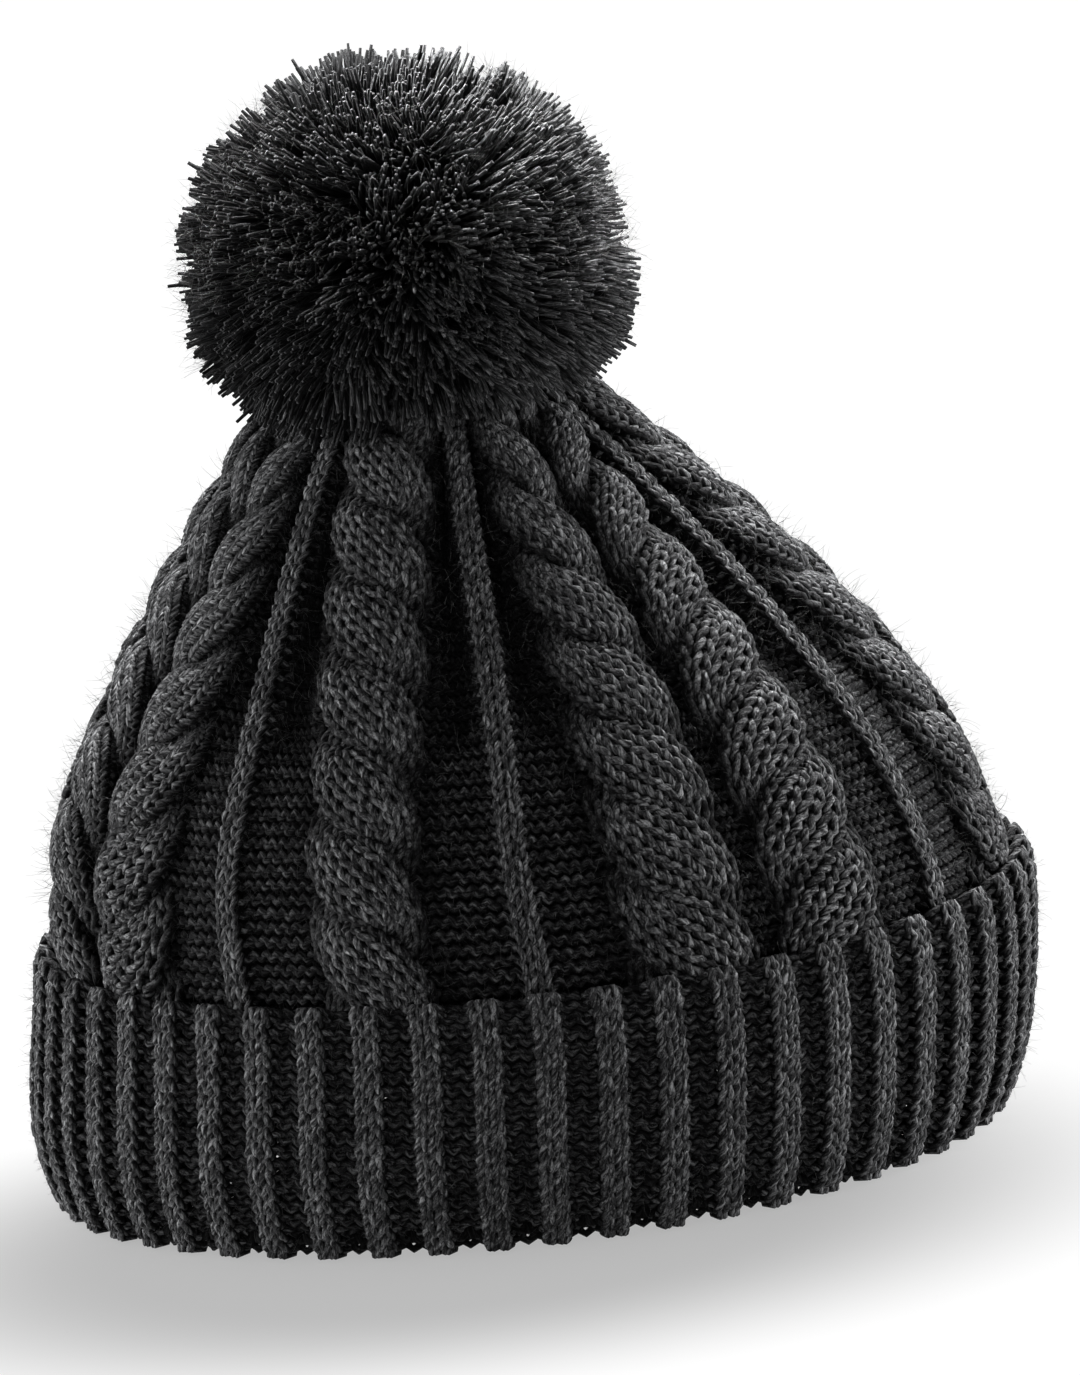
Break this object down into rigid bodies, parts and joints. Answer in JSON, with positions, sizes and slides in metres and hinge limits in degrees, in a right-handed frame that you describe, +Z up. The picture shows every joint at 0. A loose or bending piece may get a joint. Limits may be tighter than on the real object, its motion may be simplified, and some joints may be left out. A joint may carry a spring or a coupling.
{
  "type": "knit beanie",
  "caption": "Cable-knit beanie with a turned-up ribbed cuff, a gathered crown and a cut-yarn pompom that nods and twists on its tie.",
  "frame": {"origin": "centre of the hat's bounding box in plan, at the underside of the cuff's fold, where the hat stands", "axes": "+Z up through the pompom, -Y towards the front of the hat, +X to the right of a viewer who faces the front"},
  "size_m": [0.2158, 0.213, 0.2365],
  "materials": {
    "crown_knit": "melange charcoal yarn, knitted in cables",
    "band_knit": "melange charcoal yarn, knitted in rib",
    "cuff_rib": "melange charcoal yarn, knitted in 2x2 rib",
    "seam_yarn": "melange charcoal yarn, sewn",
    "tie_yarn": "melange charcoal yarn, twisted",
    "pompom_yarn": "melange charcoal yarn, cut and brushed",
    "label_tape": "woven satin tape, matt",
    "label_thread": "spun polyester thread"
  },
  "bodies": {
    "hat": {"crown_cable_knit": "crown_knit", "band_inner_ply": "band_knit", "cuff_turn_up": "cuff_rib", "crown_gather_yarn": "tie_yarn", "back_seam": "seam_yarn", "care_label": "label_tape", "label_thread": "label_thread"},
    "knot": {"tie_knot": "tie_yarn", "tie_end_left": "tie_yarn", "tie_end_right": "tie_yarn"},
    "stem": {"pompom_tie_tails": "tie_yarn", "pompom_binding": "tie_yarn"},
    "pompom": {"pompom_yarn": "pompom_yarn"}
  },
  "joints": [
    {"name": "pompom_nod_side", "type": "hinge", "parent": "hat", "child": "knot", "pos_m": [-0.0094, 0, 0.18], "axis": [0, 1, 0], "range_deg": [-10, 10], "stiffness_Nm_per_rad": 0.06},
    {"name": "pompom_nod_front", "type": "hinge", "parent": "knot", "child": "stem", "pos_m": [-0.0094, 0, 0.18], "axis": [1, 0, 0], "range_deg": [-10, 10], "stiffness_Nm_per_rad": 0.06},
    {"name": "pompom_twist", "type": "hinge", "parent": "stem", "child": "pompom", "pos_m": [-0.0094, 0, 0.18], "axis": [0, 0, 1], "range_deg": [-60, 60], "stiffness_Nm_per_rad": 0.01}
  ]
}
